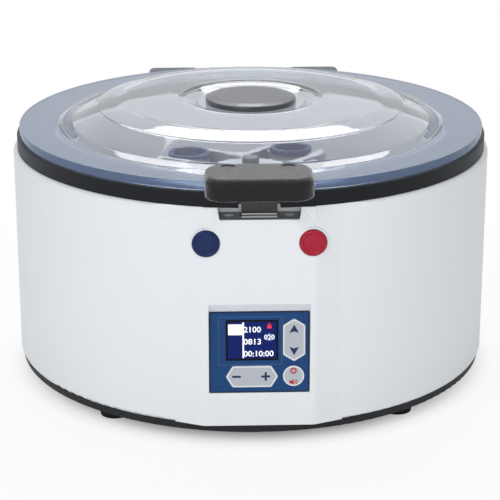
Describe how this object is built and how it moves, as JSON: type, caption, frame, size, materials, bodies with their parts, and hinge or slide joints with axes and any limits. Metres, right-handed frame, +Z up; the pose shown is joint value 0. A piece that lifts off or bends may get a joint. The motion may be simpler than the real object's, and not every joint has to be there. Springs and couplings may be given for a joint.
{
  "type": "benchtop laboratory centrifuge",
  "caption": "Round benchtop laboratory centrifuge with a domed clear lid, a swing-out rotor with hanging buckets, push buttons, a small display and rocker keys.",
  "frame": {"origin": "on the surface it stands on, under the middle of the machine", "axes": "+Z up along the rotor's axis, -Y towards the buttons and the control panel, +X to the user's right"},
  "size_m": [0.43, 0.4522, 0.2482],
  "materials": {
    "housing": "semi-gloss white moulding",
    "black_plastic": "fine grained black",
    "grey_plastic": "fine grained dark grey",
    "clear_lid": "clear, faintly blue",
    "rubber": "matt black",
    "steel": "brushed",
    "screw_steel": "bright",
    "dark_steel": "dark",
    "aluminium": "satin anodised",
    "blue_plastic": "blue",
    "red_plastic": "red",
    "fascia_blue": "satin blue",
    "key_grey": "light grey",
    "display": "lit dark blue display",
    "board_green": "circuit board",
    "copper": "enamelled windings",
    "magnet": "coated",
    "lock_steel": "zinc plated"
  },
  "bodies": {
    "root": {"housing_shell": "housing", "base_pan": "dark_steel", "rubber_feet": "rubber", "foot_screws": "screw_steel", "rim_ring": "black_plastic", "lid_gasket": "rubber", "chamber_wall": "steel", "chamber_floor": "steel", "chamber_hump": "steel", "strike_plate": "steel", "strike_screws": "screw_steel", "lock_housing": "lock_steel", "lock_solenoid": "dark_steel", "button_switches": "black_plastic", "panel_fascia": "fascia_blue", "display_module": "display", "keypad_board": "board_green", "control_board": "board_green", "power_supply": "lock_steel", "mains_inlet": "black_plastic", "power_switch_frame": "black_plastic", "hinge_bracket": "aluminium", "hinge_pin": "steel", "hinge_screws": "screw_steel", "vibration_mounts": "rubber", "mount_screws": "screw_steel", "motor_plate": "aluminium", "motor_housing": "dark_steel", "motor_stator": "copper", "bearing_outer_races": "steel"},
    "rotor": {"drive_shaft": "steel", "magnet_rotor": "magnet", "bearing_inner_races": "steel", "rotor_yoke": "aluminium", "trunnion_pins": "screw_steel", "rotor_nut": "aluminium"},
    "lid": {"lid_pane": "clear_lid", "lid_cap": "grey_plastic", "lid_handle": "grey_plastic", "handle_screws": "screw_steel", "lid_hook": "dark_steel", "hook_screws": "screw_steel", "hinge_leaf": "aluminium", "leaf_screws": "screw_steel"},
    "lock_bolt": {"lock_bolt": "steel"},
    "open_button": {"open_button": "blue_plastic"},
    "start_stop_button": {"start_stop_button": "red_plastic"},
    "up_down_key": {"up_down_key": "key_grey"},
    "minus_plus_key": {"minus_plus_key": "key_grey"},
    "settings_key": {"settings_key": "key_grey"},
    "power_switch": {"power_switch_rocker": "black_plastic"},
    "bucket_1": {"bucket_1": "aluminium", "bucket_collar_1": "blue_plastic"},
    "bucket_2": {"bucket_2": "aluminium", "bucket_collar_2": "blue_plastic"},
    "bucket_3": {"bucket_3": "aluminium", "bucket_collar_3": "blue_plastic"},
    "bucket_4": {"bucket_4": "aluminium", "bucket_collar_4": "blue_plastic"}
  },
  "joints": [
    {"name": "rotor_spin", "type": "hinge", "parent": "root", "child": "rotor", "pos_m": [0, 0, 0.17], "axis": [0, 0, 1], "continuous": true},
    {"name": "lid_hinge", "type": "hinge", "parent": "root", "child": "lid", "pos_m": [0, 0.2195, 0.216], "axis": [-1, 0, 0], "range_deg": [0, 80]},
    {"name": "lock_slide", "type": "slide", "parent": "root", "child": "lock_bolt", "axis": [0, -1, 0], "range_m": [0, 0.0055], "stiffness_N_per_m": 80},
    {"name": "open_press", "type": "slide", "parent": "root", "child": "open_button", "axis": [0, 1, 0], "range_m": [0, 0.0025], "stiffness_N_per_m": 600, "springref_m": -0.001},
    {"name": "start_stop_press", "type": "slide", "parent": "root", "child": "start_stop_button", "axis": [0, 1, 0], "range_m": [0, 0.0025], "stiffness_N_per_m": 600, "springref_m": -0.001},
    {"name": "up_down_rock", "type": "hinge", "parent": "root", "child": "up_down_key", "pos_m": [0.0287, -0.20914, 0.09175], "axis": [1, 0, 0], "range_deg": [-1.3, 1.3], "stiffness_Nm_per_rad": 0.6},
    {"name": "minus_plus_rock", "type": "hinge", "parent": "root", "child": "minus_plus_key", "pos_m": [-0.00615, -0.2116, 0.06059], "axis": [0, 0.0788, 0.9969], "range_deg": [-1.1, 1.1], "stiffness_Nm_per_rad": 0.6},
    {"name": "settings_press", "type": "slide", "parent": "root", "child": "settings_key", "axis": [0, 0.9969, -0.0788], "range_m": [0, 0.0005], "stiffness_N_per_m": 600},
    {"name": "power_rock", "type": "hinge", "parent": "root", "child": "power_switch", "pos_m": [0.017, 0.2075, 0.07], "axis": [1, 0, 0], "range_deg": [0, 16]},
    {"name": "bucket_swing_1", "type": "hinge", "parent": "rotor", "child": "bucket_1", "pos_m": [0.04007, 0.05617, 0.17], "axis": [0.8141, -0.5807, 0], "range_deg": [0, 90]},
    {"name": "bucket_swing_2", "type": "hinge", "parent": "rotor", "child": "bucket_2", "pos_m": [-0.05617, 0.04007, 0.17], "axis": [0.5807, 0.8141, 0], "range_deg": [0, 90]},
    {"name": "bucket_swing_3", "type": "hinge", "parent": "rotor", "child": "bucket_3", "pos_m": [-0.04007, -0.05617, 0.17], "axis": [-0.8141, 0.5807, 0], "range_deg": [0, 90]},
    {"name": "bucket_swing_4", "type": "hinge", "parent": "rotor", "child": "bucket_4", "pos_m": [0.05617, -0.04007, 0.17], "axis": [-0.5807, -0.8141, 0], "range_deg": [0, 90]}
  ]
}
